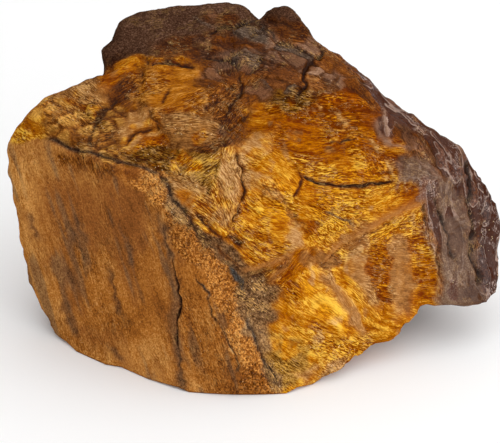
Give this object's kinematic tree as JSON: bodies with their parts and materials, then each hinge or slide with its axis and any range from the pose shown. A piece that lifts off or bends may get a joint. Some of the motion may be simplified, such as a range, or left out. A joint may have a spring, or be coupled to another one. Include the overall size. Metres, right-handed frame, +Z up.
{
  "type": "rough tiger's eye stone",
  "caption": "Rough tiger's eye: a broken lump of golden silky quartz with an ochre joint face and a dark ironstone rind, resting on its foot.",
  "frame": {"origin": "middle of the stone's bounding box, on the plane of its foot", "axes": "+Z up from the foot, +X along the stone's length towards the rind end, -Y towards the silky fracture face"},
  "size_m": [0.091, 0.06, 0.0532],
  "materials": {
    "stone": "silky and wet-looking on the fracture, matt on the joint face and the cap"
  },
  "bodies": {
    "root": {"tigers_eye_stone": "stone"}
  },
  "joints": []
}
